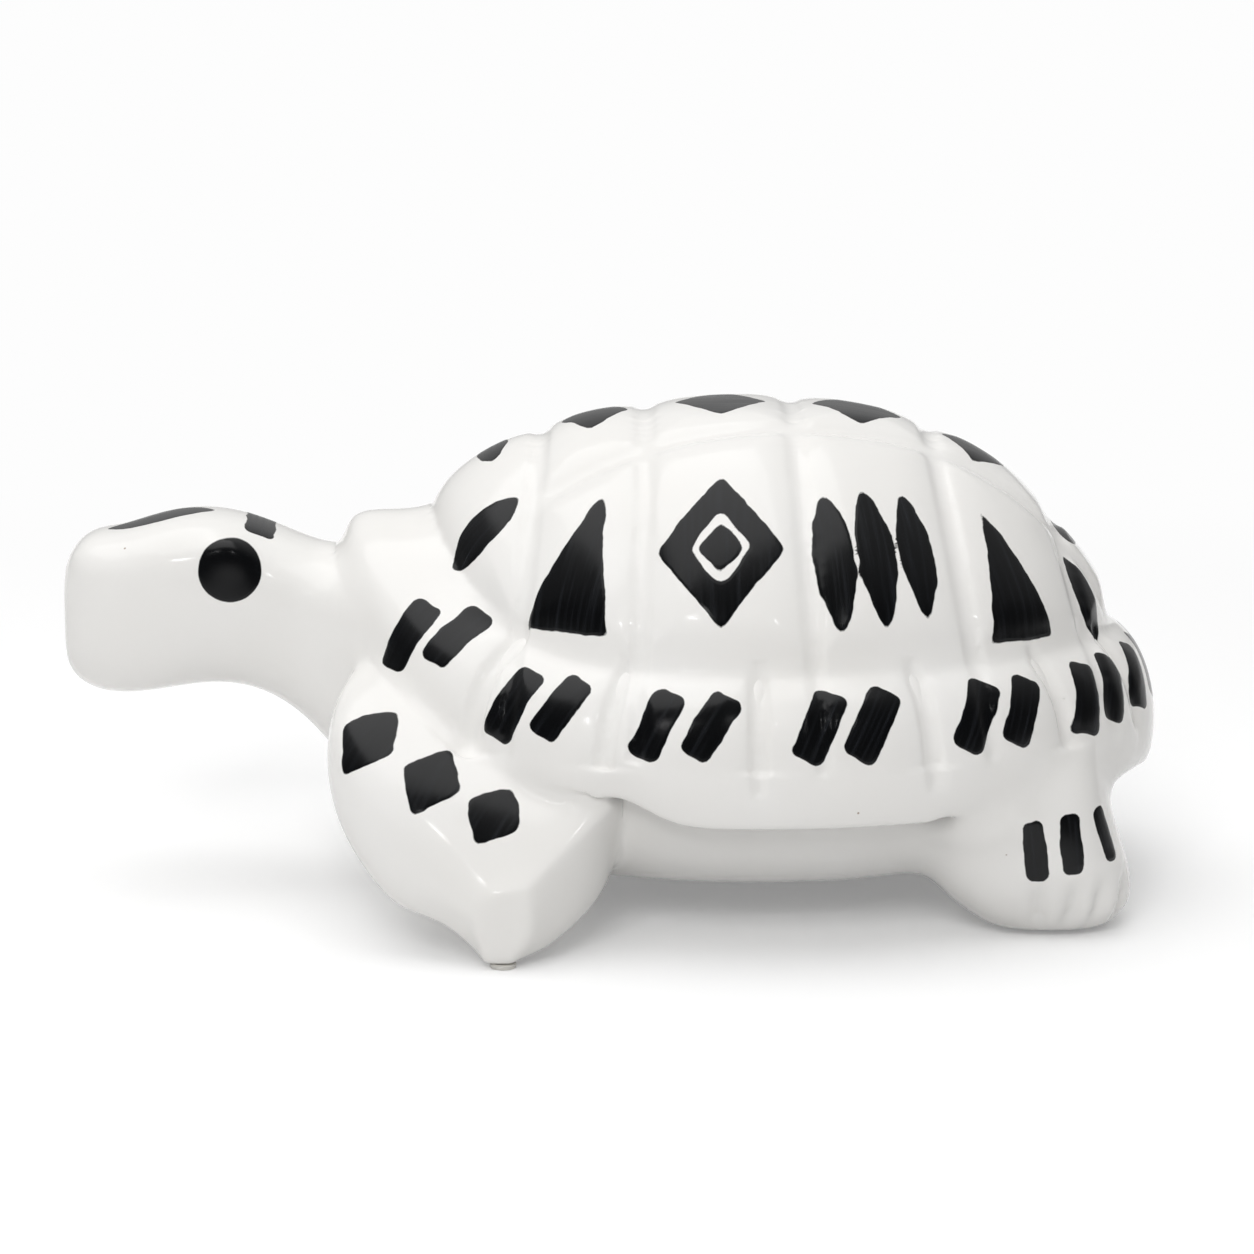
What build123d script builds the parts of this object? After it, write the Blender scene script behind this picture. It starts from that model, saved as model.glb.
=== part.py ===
# A glazed, hollow slip-cast turtle figurine, built as the castings it is stuck together from.
# Millimetres. The floor is z = 0, the head points along -X, and the left side faces -Y.

import os
from math import copysign, cos, pi, radians, sin

from build123d import *

# Shell. Reaches are measured from the shell's own middle.
SHELL_TOP = 125.5
DOME_FRONT = 82.0
DOME_REAR = 92.0
DOME_HALF_WIDTH = 72.0
DOME_FOOT = 73.0
DOME_FOOT_AT_COLLAR = 100.0
DOME_FULLNESS = 2.6
DOME_SHOULDER = 1.3
RIM_FRONT = 104.0
RIM_REAR = 104.0
RIM_HALF_WIDTH = 83.0
RIM_HEIGHT = 42.0
COLLAR_HEIGHT = 93.0
COLLAR_SHARPNESS = 5.0
LIP_ROLL = 6.5
LIP_UNDER = 0.92
BAND_SPREAD = 0.45
BAND_DROP = 0.25
DOME_ROOT = 9.0
DOME_ROOT_INSET = 6.0
WALL = 5.0

# Grooves between the scutes: places along the shell, and bearings round the rim.
GROOVE_WIDTH = 4.0
GROOVE_DEPTH = 1.2
CROSS_GROOVES = (-53.0, -27.0, 10.0, 44.0, 70.0)
GROOVE_LEAN = 0.17
UPRIGHT_GROOVE = -15.0
ROW_HALF_WIDTH = 32.0
ROW_TAPER = 8.0
RIM_GROOVES = (20.0, 42.0, 66.0, 90.0, 113.0, 135.0)

# Belly.
SEAM_HEIGHT = 33.5
SEAM_TUCK = 11.0
BELLY_HEIGHT = 12.0
BELLY_TUCK = 34.0
BELLY_BULGE = 7.0
BELLY_BULGE_RISE = 0.45
VENT_RADIUS = 4.0

# Felt pads.
PAD_THICKNESS = 1.2
FRONT_PAD_RADIUS = 4.0
REAR_PAD_RADIUS = 11.0

# Head and eyes.
HEAD_REACH = 71.0
HEAD_SQUARENESS = 3.0
EYE_RADIUS = 8.0
EYE_BULGE = 1.6
EYE_BACK = 42.0
EYE_HEIGHT = 85.5
EYE_SIDE = 20.0

# Head and neck: distance behind the snout, middle height, half height, half width.
HEAD_STATIONS = (
    (0.0, 70.0, 10.0, 8.0),
    (4.0, 70.4, 16.8, 15.0),
    (19.0, 72.6, 21.6, 20.5),
    (42.0, 75.0, 21.5, 22.0),
    (59.0, 68.4, 22.0, 21.5),
    (69.0, 61.8, 25.8, 25.0),
    (97.0, 55.0, 30.0, 33.0),
)

# Front flipper: distance out from the middle, distance ahead of the shell's middle,
# middle height, half length, half height, slope up towards the front.
FLIPPER_STATIONS = (
    (12.0, 66.0, 44.0, 31.0, 22.0, 0.30),
    (50.0, 70.0, 36.0, 35.5, 20.0, 0.28),
    (66.0, 68.5, 28.0, 32.0, 18.5, 0.20),
    (78.0, 65.5, 17.0, 19.0, 15.5, 0.10),
    (86.0, 61.5, 8.0, 6.8, 8.4, 0.0),
)

# Rear foot: height, distance behind the shell's middle, distance out, half length, half width.
FOOT_STATIONS = (
    (PAD_THICKNESS, 73.0, 38.0, 16.0, 17.5),
    (7.0, 71.5, 39.0, 22.5, 22.5),
    (17.0, 67.0, 40.0, 26.0, 24.5),
    (30.0, 66.0, 40.0, 23.0, 24.0),
    (46.0, 66.0, 38.0, 18.0, 20.0),
)
LIMB_SQUARENESS = 2.7
TOE_GROOVE = 1.6
TOE_BEARINGS = (-72.0, -48.0, -24.0, 0.0)

# Places that follow from the sizes above: the origin is under the middle of the length.
LENGTH = HEAD_REACH + RIM_FRONT + RIM_REAR
SNOUT_X = -LENGTH / 2
SHELL_X = LENGTH / 2 - RIM_REAR
BIG = 2 * LENGTH
RING_POINTS = 24


def closed_loop(points):
    """One smooth closed edge through evenly counted points."""
    count = len(points)
    steps = [i / count for i in range(count + 1)]
    edge = Edge.make_spline([Vector(*p) for p in points], periodic=True, parameters=steps)
    return Wire([edge])


def lift(turn):
    """How far a ring climbs towards the collar: 1 over the neck, 0 from the sides back."""
    return max(0.0, -cos(turn)) ** COLLAR_SHARPNESS


def dome_foot(turn, inset):
    return DOME_FOOT + (DOME_FOOT_AT_COLLAR - DOME_FOOT - inset) * lift(turn)


def rim_line(turn, inset):
    return RIM_HEIGHT + (COLLAR_HEIGHT - RIM_HEIGHT - inset) * lift(turn)


def oval(front, rear, half_width, height):
    """A ring round the shell's middle; height is a function of the turn."""
    points = []
    for step in range(RING_POINTS):
        turn = 2 * pi * step / RING_POINTS
        reach = rear if cos(turn) > 0 else front
        points.append((SHELL_X + reach * cos(turn), half_width * sin(turn), height(turn)))
    return closed_loop(points)


def dome(inset):
    """The scuted part of the shell, down to a level foot hidden inside the rim."""
    front = DOME_FRONT - inset
    rear = DOME_REAR - inset
    half = DOME_HALF_WIDTH - inset
    root = SEAM_HEIGHT + DOME_ROOT
    tuck = DOME_ROOT_INSET
    rings = [oval(front - tuck, rear - tuck, half - tuck, lambda turn: root)]
    for share in (1.0, 0.97, 0.9, 0.78, 0.6, 0.4, 0.2):
        rise = (1 - share**DOME_FULLNESS) ** (1 / DOME_SHOULDER)

        def height(turn, rise=rise):
            foot = dome_foot(turn, inset)
            return foot + (SHELL_TOP - inset - foot) * rise

        rings.append(oval(front * share, rear * share, half * share, height))
    return Solid.make_loft(rings + [Vertex(SHELL_X, 0, SHELL_TOP - inset)])


def rim_ring(spread, height, inset):
    """A ring between the dome's foot (spread 0) and the lip (spread 1)."""
    front = DOME_FRONT + spread * (RIM_FRONT - DOME_FRONT) - inset
    rear = DOME_REAR + spread * (RIM_REAR - DOME_REAR) - inset
    half = DOME_HALF_WIDTH + spread * (RIM_HALF_WIDTH - DOME_HALF_WIDTH) - inset
    return oval(front, rear, half, height)


def seam_ring(tuck, height):
    front = RIM_FRONT - tuck
    rear = RIM_REAR - tuck
    return oval(front, rear, RIM_HALF_WIDTH - tuck, lambda turn: height)


def rim(inset):
    """The skirt and collar round the dome, closed to a point inside it."""
    rings = [seam_ring(SEAM_TUCK + inset, SEAM_HEIGHT)]
    rings.append(rim_ring(LIP_UNDER, lambda turn: rim_line(turn, inset) - LIP_ROLL, inset))
    rings.append(rim_ring(1.0, lambda turn: rim_line(turn, inset), inset))

    def band(turn):
        foot = dome_foot(turn, inset)
        return foot + BAND_DROP * (rim_line(turn, inset) - foot)

    rings.append(rim_ring(BAND_SPREAD, band, inset))
    return Solid.make_loft(rings + [Vertex(SHELL_X, 0, DOME_FOOT + WALL - inset)])


def shell_form(inset):
    """Dome and rim together, above the seam."""
    above = Pos(SHELL_X, 0, SEAM_HEIGHT + BIG / 2) * Box(BIG, BIG, BIG)
    return (dome(inset) + rim(inset)) & above


def belly_form(inset, top):
    """The belly from the seam down to its flat; the inset one leaves the wall."""
    rings = [seam_ring(BELLY_TUCK + inset, BELLY_HEIGHT + inset)]
    bottom = BELLY_HEIGHT + inset
    middle = bottom + BELLY_BULGE_RISE * (SEAM_HEIGHT - bottom)
    rings.append(seam_ring(SEAM_TUCK + BELLY_BULGE + inset, middle))
    rings.append(seam_ring(SEAM_TUCK + inset, top))
    return Solid.make_loft(rings)


def groove_walls():
    """Thin upright walls standing where the grooves run."""
    walls = []
    over_dome = DOME_FOOT + BIG / 2
    for place in CROSS_GROOVES:
        walls.append(cross_wall(place))
    row_length = DOME_REAR - CROSS_GROOVES[0]
    for side in (-1, 1):
        wall = Pos(row_length / 2, 0, over_dome) * Box(row_length, GROOVE_WIDTH, BIG)
        start = Pos(SHELL_X + CROSS_GROOVES[0], side * ROW_HALF_WIDTH, 0)
        walls.append(start * Rot(0, 0, -side * ROW_TAPER) * wall)
    for bearing in RIM_GROOVES:
        for side in (-1, 1):
            walls.append(rim_wall(radians(bearing), side))
    return walls


def cross_wall(place):
    """A wall right across the dome, leaning out more the nearer it stands to either end."""
    lean = GROOVE_LEAN * (place - UPRIGHT_GROOVE)
    height = SHELL_TOP - DOME_FOOT
    wall = Pos(0, 0, -height / 2) * Box(GROOVE_WIDTH, BIG, 2 * height)
    return Pos(SHELL_X + place, 0, SHELL_TOP) * Rot(0, -lean, 0) * wall


def rim_wall(turn, side):
    """A wall standing across the rim, from just outside the dome's foot."""
    reach = DOME_REAR if cos(turn) > 0 else DOME_FRONT
    foot = Vector(reach * cos(turn), side * DOME_HALF_WIDTH * sin(turn), 0)
    bearing = Vector(1, 0, 0).get_signed_angle(foot, Vector(0, 0, 1))
    length = 2 * (RIM_HALF_WIDTH - DOME_HALF_WIDTH)
    wall = Pos(length / 2 + 1, 0, RIM_HEIGHT + BIG / 2) * Box(length, GROOVE_WIDTH, BIG)
    return Pos(SHELL_X + foot.X, foot.Y, 0) * Rot(0, 0, bearing) * wall


def rounded_loop(centre, across, up, squareness, slope=0.0):
    """A rounded oblong loop about a centre; across and up are half-size vectors."""
    points = []
    for step in range(16):
        turn = 2 * pi * step / 16
        a = copysign(abs(cos(turn)) ** (2 / squareness), cos(turn))
        b = copysign(abs(sin(turn)) ** (2 / squareness), sin(turn))
        point = centre + across * a + up * b
        points.append((point.X, point.Y, point.Z - slope * across.X * a))
    return closed_loop(points)


def head_form(inset):
    loops = []
    for back, height, half_height, half_width in HEAD_STATIONS:
        x = SNOUT_X + back + (inset if back == 0 else 0)
        across = Vector(0, half_width - inset, 0)
        up = Vector(0, 0, half_height - inset)
        loops.append(rounded_loop(Vector(x, 0, height), across, up, HEAD_SQUARENESS))
    return Solid.make_loft(loops)


def eye(side):
    """A low button of an eye, a slice off a large ball."""
    ball = (EYE_RADIUS**2 + EYE_BULGE**2) / (2 * EYE_BULGE)
    x = SNOUT_X + EYE_BACK
    lens = Pos(x, side * (EYE_SIDE + EYE_BULGE - ball), EYE_HEIGHT) * Sphere(ball)
    barrel = Rot(90, 0, 0) * Cylinder(EYE_RADIUS, EYE_SIDE)
    return lens & (Pos(x, side * EYE_SIDE, EYE_HEIGHT) * barrel)


def flipper_form(inset):
    """The left front flipper, a thick paddle that reaches the floor at its tip."""
    loops = []
    for out, ahead, height, half_length, half_height, slope in FLIPPER_STATIONS:
        shrink = inset if out == FLIPPER_STATIONS[-1][0] else 0
        centre = Vector(SHELL_X - ahead, -(out - shrink), height)
        across = Vector(half_length - inset, 0, 0)
        up = Vector(0, 0, half_height - inset)
        loops.append(rounded_loop(centre, across, up, LIMB_SQUARENESS, slope))
    return Solid.make_loft(loops)


def foot_form(inset):
    """The left rear foot, a stump that spreads to its sole."""
    loops = []
    for height, behind, out, half_length, half_width in FOOT_STATIONS:
        raised = inset if height == FOOT_STATIONS[0][0] else 0
        centre = Vector(SHELL_X + behind, -out, height + raised)
        across = Vector(half_length - inset, 0, 0)
        up = Vector(0, half_width - inset, 0)
        loops.append(rounded_loop(centre, across, up, LIMB_SQUARENESS))
    return Solid.make_loft(loops)


def toe_grooves():
    """Upright flutes round the outer rear edge of the left foot."""
    height, behind, out, half_length, half_width = FOOT_STATIONS[1]
    flutes = []
    for bearing in TOE_BEARINGS:
        turn = radians(bearing)
        x = SHELL_X + behind + half_length * cos(turn)
        y = -out + half_width * sin(turn)
        flutes.append(Pos(x, y, height) * Cylinder(TOE_GROOVE, 2 * height))
    return flutes


def above(height):
    """Everything higher than a level."""
    return Pos(0, 0, height + BIG / 2) * Box(BIG, BIG, BIG)


def carapace(outer):
    """The hollow shell, with the grooves that part its scutes."""
    floor = shell_form(GROOVE_DEPTH)
    grooves = [wall - floor for wall in groove_walls()]
    return outer - grooves - shell_form(WALL)


def plastron(belly):
    """The belly tray, with the hole that lets air out in the kiln."""
    vent = Pos(SHELL_X, 0, BELLY_HEIGHT) * Cylinder(VENT_RADIUS, 4 * WALL)
    return belly - belly_form(WALL, SEAM_HEIGHT) - vent


def head_and_neck(outer, belly):
    """Head and neck, hollow, with the root trimmed to sit on the body."""
    whole = head_form(0) + eye(-1) + eye(1)
    return whole - head_form(WALL) - outer - belly


def front_flipper(outer, belly):
    whole = flipper_form(0) - outer - belly - head_form(0)
    return (whole - flipper_form(WALL)) & above(PAD_THICKNESS)


def rear_foot(outer, belly):
    return foot_form(0) - outer - belly - foot_form(WALL) - toe_grooves()


def pad(x, y, radius):
    return Pos(x, y, PAD_THICKNESS / 2) * Cylinder(radius, PAD_THICKNESS)


def pads():
    """The felt pads under the left side's soles."""
    tip_out = (FLIPPER_STATIONS[-1][0] + FLIPPER_STATIONS[-2][0]) / 2
    tip_x = SHELL_X - FLIPPER_STATIONS[-1][1]
    sole = FOOT_STATIONS[0]
    front = pad(tip_x, -tip_out, FRONT_PAD_RADIUS)
    rear = pad(SHELL_X + sole[1], -sole[2], REAR_PAD_RADIUS)
    return front, rear


def build():
    """Every piece by its node name; the right side mirrors the left."""
    outer = shell_form(0)
    belly = belly_form(0, SEAM_HEIGHT)
    pieces = {}
    pieces["carapace"] = carapace(outer)
    pieces["plastron"] = plastron(belly)
    pieces["head_and_neck"] = head_and_neck(outer, belly)
    front_pad, rear_pad = pads()
    left = {
        "front_%s_flipper": front_flipper(outer, belly),
        "rear_%s_foot": rear_foot(outer, belly),
        "front_%s_pad": front_pad,
        "rear_%s_pad": rear_pad,
    }
    for name, piece in left.items():
        pieces[name % "left"] = piece
        pieces[name % "right"] = mirror(piece, about=Plane.XZ)
    return pieces


if __name__ == "__main__":
    os.makedirs("parts", exist_ok=True)
    for name, piece in build().items():
        export_step(piece, f"parts/{name}.step")
        print(name, piece.is_valid, len(piece.solids()), round(piece.volume / 1000, 1), "cm3")
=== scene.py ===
# %% [markdown]
# # A glazed ceramic turtle
# The real ornament is a set of hollow castings that were stuck together while damp and then
# dipped in one coat of glaze. So the lesson has two halves: first the castings are melted into
# one soft skin, as the glaze does it, and then that skin is cut back into the castings.

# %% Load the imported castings
from math import copysign, cos, pi, radians, sin

import bmesh
import bpy
import numpy as np
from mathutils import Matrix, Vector
from mathutils.bvhtree import BVHTree


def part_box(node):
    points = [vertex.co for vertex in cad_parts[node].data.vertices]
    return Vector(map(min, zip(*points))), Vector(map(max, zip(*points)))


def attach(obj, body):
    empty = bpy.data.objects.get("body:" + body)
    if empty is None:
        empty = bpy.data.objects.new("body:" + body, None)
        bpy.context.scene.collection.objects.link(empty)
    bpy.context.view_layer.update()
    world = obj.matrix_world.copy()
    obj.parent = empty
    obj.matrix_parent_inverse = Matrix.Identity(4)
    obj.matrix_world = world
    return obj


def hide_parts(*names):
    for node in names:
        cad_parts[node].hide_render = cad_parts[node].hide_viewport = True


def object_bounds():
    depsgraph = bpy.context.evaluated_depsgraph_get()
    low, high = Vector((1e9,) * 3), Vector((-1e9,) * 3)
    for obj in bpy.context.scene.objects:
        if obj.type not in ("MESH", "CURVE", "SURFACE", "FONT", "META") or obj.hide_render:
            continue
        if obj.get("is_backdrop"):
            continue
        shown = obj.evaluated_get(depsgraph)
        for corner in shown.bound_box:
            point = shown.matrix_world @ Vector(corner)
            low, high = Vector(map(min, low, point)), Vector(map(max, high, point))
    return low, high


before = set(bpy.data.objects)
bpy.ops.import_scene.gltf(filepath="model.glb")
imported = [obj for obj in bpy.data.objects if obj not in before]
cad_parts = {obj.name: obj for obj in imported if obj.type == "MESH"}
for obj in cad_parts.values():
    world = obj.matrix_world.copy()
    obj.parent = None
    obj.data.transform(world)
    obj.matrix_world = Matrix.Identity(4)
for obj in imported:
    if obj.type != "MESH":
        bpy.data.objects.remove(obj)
cad_low, cad_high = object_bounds()
MM = 0.001
print("castings:", ", ".join(sorted(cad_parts)))

# %% [markdown]
# ## The camera
# The camera stands where the photographer stood: a long lens, a little above the object. It comes
# first, because some forms are easiest to place by where they show in a frame of 1254 pixels. Both
# sides of the turtle are alike, so a point on its right counts as the mirrored one on its left.

# %% Camera
FRAME_SIDE = 1254
SENSOR = 36
LENS = 122.9
CAMERA = Vector((3.9, -1076.0, 295.2)) * MM
TARGET = Vector((3.9, 0.0, 66.5)) * MM

camera = bpy.data.objects.new("camera", bpy.data.cameras.new("camera"))
bpy.context.scene.collection.objects.link(camera)
camera.location = CAMERA
camera.rotation_euler = (TARGET - CAMERA).to_track_quat("-Z", "Y").to_euler()
camera.data.lens = LENS
camera.data.sensor_width = SENSOR
bpy.context.scene.camera = camera


def seen_at(points):
    """The pixels at which the camera sees these points, those on the right mirrored to the left."""
    left = np.column_stack((points[:, 0], -np.abs(points[:, 1]), points[:, 2]))
    turn = np.array(camera.rotation_euler.to_matrix())
    away = (left - np.array(CAMERA)) @ turn
    scale = LENS / SENSOR * FRAME_SIDE / -away[:, 2]
    return FRAME_SIDE / 2 + away[:, 0] * scale, FRAME_SIDE / 2 - away[:, 1] * scale


print("camera", [round(value, 4) for value in CAMERA])

# %% [markdown]
# ## Joining the castings
# The clay castings meet under the glaze, so no seam shows. Each casting is copied, the copies are
# joined and their doubled corners merged. Some filler goes in with them, as a potter adds slip: a
# core in each rear foot closes the casting's toe flutes, because fresh ones are carved later, a
# lump fills the gap between the shell's lip and each rear foot, and a plug shuts the kiln vent,
# which is drilled again at the end.

# %% Copy and join the castings
CERAMIC = ["carapace", "plastron", "head_and_neck", "front_left_flipper", "front_right_flipper",
           "rear_left_foot", "rear_right_foot"]
RIM_REACH = 104
SHELL_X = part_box("carapace")[1][0] - RIM_REACH * MM
VENT_RADIUS = 4 * MM
PLUG_MARGIN, PLUG_DEPTH, PLUG_MIDDLE = 1 * MM, 4.4 * MM, 2.7 * MM
CORE_LIFT = 0.3
FOOT_SQUARENESS = 2.7
FOOT_CORNERS = 48
FILLET_AT = (92, 61, 31)
FILLET_RADII = (15, 7, 8)
belly_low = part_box("plastron")[0][2]


def only(*objects):
    """Leaves just these selected, the first one active."""
    if bpy.context.object and bpy.context.object.mode != "OBJECT":
        bpy.ops.object.mode_set(mode="OBJECT")
    bpy.ops.object.select_all(action="DESELECT")
    for thing in objects:
        thing.select_set(True)
    bpy.context.view_layer.objects.active = objects[0]


def copy_of(node):
    copied = bpy.data.objects.new("copy_" + node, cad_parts[node].data.copy())
    bpy.context.scene.collection.objects.link(copied)
    return copied


def foot_core(side):
    """A plain plug inside a rear foot that fills its toe flutes, from three rounded outlines."""
    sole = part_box("rear_left_foot")[0][2] / MM + CORE_LIFT
    # Each outline: height, how far behind the shell's middle, how far out, half length, half width.
    outlines = ((sole, 73, 38, 15.8, 17.3), (7, 71.5, 39, 22.3, 22.3), (15, 67.9, 39.8, 25.2, 24.0))
    count, power, corners = FOOT_CORNERS, 2 / FOOT_SQUARENESS, []
    for height, behind, out, half_long, half_wide in outlines:
        for i in range(count):
            c, s = cos(2 * pi * i / count), sin(2 * pi * i / count)
            along = behind + half_long * copysign(abs(c) ** power, c)
            across = side * (out + half_wide * copysign(abs(s) ** power, s))
            corners.append((SHELL_X + along * MM, across * MM, height * MM))
    faces = [tuple(range(count)), tuple(range(2 * count, 3 * count))]
    for ring in (0, count):
        for i in range(count):
            j = (i + 1) % count
            faces.append((ring + i, ring + j, ring + count + j, ring + count + i))
    mesh = bpy.data.meshes.new("foot_core")
    mesh.from_pydata(corners, [], faces)
    core = bpy.data.objects.new("foot_core", mesh)
    bpy.context.scene.collection.objects.link(core)
    return core


def slip_fillet(side):
    """A lump of slip in the gap between the shell's lip and the top of a rear foot."""
    along, out, height = FILLET_AT
    bpy.ops.mesh.primitive_uv_sphere_add(radius=1 * MM,
                                         location=(along * MM, side * out * MM, height * MM))
    lump = bpy.context.object
    lump.scale = FILLET_RADII
    bpy.ops.object.transform_apply()
    return lump


copies = [copy_of(node) for node in CERAMIC] + [foot_core(-1), foot_core(1)]
only(copies[0])
copies += [slip_fillet(-1), slip_fillet(1)]
bpy.ops.mesh.primitive_cylinder_add(radius=VENT_RADIUS + PLUG_MARGIN, depth=PLUG_DEPTH,
                                    location=(SHELL_X, 0, belly_low + PLUG_MIDDLE))
plug = bpy.context.object
bpy.ops.object.transform_apply()
only(copies[0], plug, *copies[1:])
bpy.ops.object.join()
skin = bpy.context.object
skin.name = "skin"
bpy.ops.object.mode_set(mode="EDIT")
bpy.ops.mesh.select_all(action="SELECT")
bpy.ops.mesh.remove_doubles(threshold=0.01 * MM)
bpy.ops.object.mode_set(mode="OBJECT")
print("joined castings:", len(skin.data.polygons), "faces")

# %% [markdown]
# ## Melting the joints
# A voxel remesh turns the joined castings into one even skin, as if clay slip had filled every
# join. A bevel can't do this, because the joins are curved edges between curved faces. The skin
# follows the inner wall of the hollow castings too. Smoothing then rounds the grooves the way a
# thick glaze does, which pools in them.

# %% Remesh and smooth
VOXEL = 0.9 * MM


def use(thing, name, kind, **settings):
    """Adds one modifier and applies it."""
    modifier = thing.modifiers.new(name, kind)
    for key, value in settings.items():
        setattr(modifier, key, value)
    only(thing)
    bpy.ops.object.modifier_apply(modifier=name)


def keep_largest(thing):
    """Drops loose scraps and keeps the part with the largest box."""
    only(thing)
    bpy.ops.object.mode_set(mode="EDIT")
    bpy.ops.mesh.select_all(action="SELECT")
    bpy.ops.mesh.separate(type="LOOSE")
    bpy.ops.object.mode_set(mode="OBJECT")
    parts = sorted(bpy.context.selected_objects, key=lambda part: part.dimensions.length)
    for part in parts[:-1]:
        bpy.data.objects.remove(part)
    return parts[-1], len(parts)


use(skin, "slip", "REMESH", mode="VOXEL", voxel_size=VOXEL)
skin, loose = keep_largest(skin)
use(skin, "glaze_flow", "SMOOTH", factor=0.5, iterations=8)
print("skin:", len(skin.data.polygons), "faces, from", loose, "loose parts")

# %% [markdown]
# ## Which casting each spot belongs to
# Later the skin is cut up again, so every face is tied to the casting it lies nearest to. The same
# distances tell where two castings meet.

# %% Measure the distance to each casting
LONGEST = 16 * MM
NOT_NEAR = 1.0


def positions(mesh):
    flat = np.empty(len(mesh.vertices) * 3)
    mesh.vertices.foreach_get("co", flat)
    return flat.reshape(-1, 3)


def directions(mesh):
    flat = np.empty(len(mesh.vertices) * 3)
    mesh.vertex_normals.foreach_get("vector", flat)
    return flat.reshape(-1, 3)


def tree_of(node):
    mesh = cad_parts[node].data
    corners = [v.co for v in mesh.vertices]
    return BVHTree.FromPolygons(corners, [tuple(p.vertices) for p in mesh.polygons])


def distances(points, node):
    """Distance to a casting, for the points that lie in its box or near it."""
    low, high = (np.array(corner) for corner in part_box(node))
    near = np.all((points > low - LONGEST) & (points < high + LONGEST), axis=1)
    result = np.full(len(points), NOT_NEAR)
    tree = tree_of(node)
    for i in np.flatnonzero(near):
        hit = tree.find_nearest(points[i], LONGEST)
        if hit[3] is not None:
            result[i] = hit[3]
    return result


points = positions(skin.data)
gap = {node: distances(points, node) for node in CERAMIC}
print({node: int((far < 1 * MM).sum()) for node, far in gap.items()}, "points on each casting")

# %% [markdown]
# ## Softening the joins
# The real legs, neck and lip flow into the body without a crease, so there the skin is smoothed
# once more. A weight at every point says how strongly: it is one where both castings are near and
# fades from half the reach to one and a half. The soles, the paddles and the bulges of the eyes
# are softened too, as a wet sponge would do it.

# %% Smooth where the castings meet
BULGE_BEHIND_SNOUT = 42.5 * MM
EYE_HEIGHT = 85.5 * MM
BULGE_SPREAD = 7 * MM
RIM_UNDERSIDE, LIP_LOWEST, SOLE_TOP = 54 * MM, 22 * MM, 18 * MM
FADE = 8 * MM
ON_CASTING, ON_PADDLE = 3 * MM, 4 * MM


def soften(name, weight, rounds):
    """Smooths the skin in so many rounds, as strongly as the weight says."""
    group = skin.vertex_groups.new(name=name)
    for i in np.flatnonzero(weight > 0.01):
        group.add([int(i)], float(weight[i]), "REPLACE")
    use(skin, name, "SMOOTH", factor=0.5, iterations=rounds, vertex_group=name)
    print(name, int((weight > 0.5).sum()), "points")


def near_both(one_gap, other_gap, reach):
    return np.clip(1.5 - np.maximum(one_gap, other_gap) / reach, 0, 1)


body_gap = np.minimum(gap["carapace"], gap["plastron"])
head_gap = gap["head_and_neck"]
rear_gap = np.minimum(gap["rear_left_foot"], gap["rear_right_foot"])
paddle_gap = np.minimum(gap["front_left_flipper"], gap["front_right_flipper"])
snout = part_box("head_and_neck")[0][0]
height = points[:, 2]
below_rim = np.clip((RIM_UNDERSIDE - height) / FADE, 0, 1)
off_floor = np.clip(height / FADE, 0, 1)
from_bulge = np.hypot(points[:, 0] - snout - BULGE_BEHIND_SNOUT, height - EYE_HEIGHT)
on_bulge = np.clip(2.4 - from_bulge / BULGE_SPREAD, 0, 1)

soften("rear_joins", near_both(body_gap, rear_gap, 14 * MM) * below_rim, 150)
soften("soles", np.where((rear_gap < ON_CASTING) & (height < SOLE_TOP), 1.0, 0.0), 25)
soften("front_joins", near_both(body_gap, paddle_gap, 5 * MM), 14)
soften("rim_lip", near_both(gap["carapace"], gap["plastron"], 7 * MM) * (height > LIP_LOWEST), 40)
soften("neck_join", near_both(body_gap, head_gap, 6 * MM), 50)
soften("soft_paddles", np.where(paddle_gap < ON_PADDLE, off_floor, 0.0), 20)
soften("eyes", np.where(head_gap < ON_CASTING, on_bulge, 0.0), 70)

# %% [markdown]
# ## Modelling the flippers
# A modeller would now push the damp clay about with a thumb. Each push below has a pixel at which
# it is centred, how far it goes back and up in millimetres, and a spread. The flippers get their
# corner, hollow and tip this way, and the front end of the shell's lip is lifted above them. After
# that a ridge is drawn out along each flipper's rear edge, which parts its broad face from its back.

# %% Push the clay
# One pixel spans this many millimetres at the turtle.
PIXEL = 0.257
RIDGE = ((606, 804), (547, 868), (512, 905), (499, 949))
RIDGE_HEIGHT = 2.5
RIDGE_WIDTH = 5
RIDGE_FOOT = 965
RIDGE_FADE = 40
TIP_HEIGHT = 24 * MM
FLANK_FADE = 15 * MM
points = positions(skin.data)
paddle = np.clip(1.5 - paddle_gap / ON_PADDLE, 0, 1)
# The flank starts three fades from the middle plane.
flank = np.clip(np.abs(points[:, 1]) / FLANK_FADE - 3, 0, 1)


def push(member, x, y, back, up, spread):
    across, down = seen_at(points)
    near = member * np.exp(-np.hypot(across - x, down - y) ** 2 * (PIXEL / spread) ** 2)
    points[:, 0] += near * back * MM
    points[:, 2] += near * up * MM


def millimetres_from(line, across, down):
    """Distance of pixels from a line of corners, at the turtle's scale."""
    least = np.full(len(across), 999.0)
    for (x0, y0), (x1, y1) in zip(line, line[1:]):
        long = (x1 - x0) ** 2 + (y1 - y0) ** 2
        share = np.clip(((across - x0) * (x1 - x0) + (down - y0) * (y1 - y0)) / long, 0, 1)
        gone = np.hypot(across - x0 - share * (x1 - x0), down - y0 - share * (y1 - y0))
        least = np.minimum(least, gone * PIXEL)
    return least


def reshape_skin(points):
    skin.data.vertices.foreach_set("co", points.ravel())
    skin.data.update()


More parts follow.
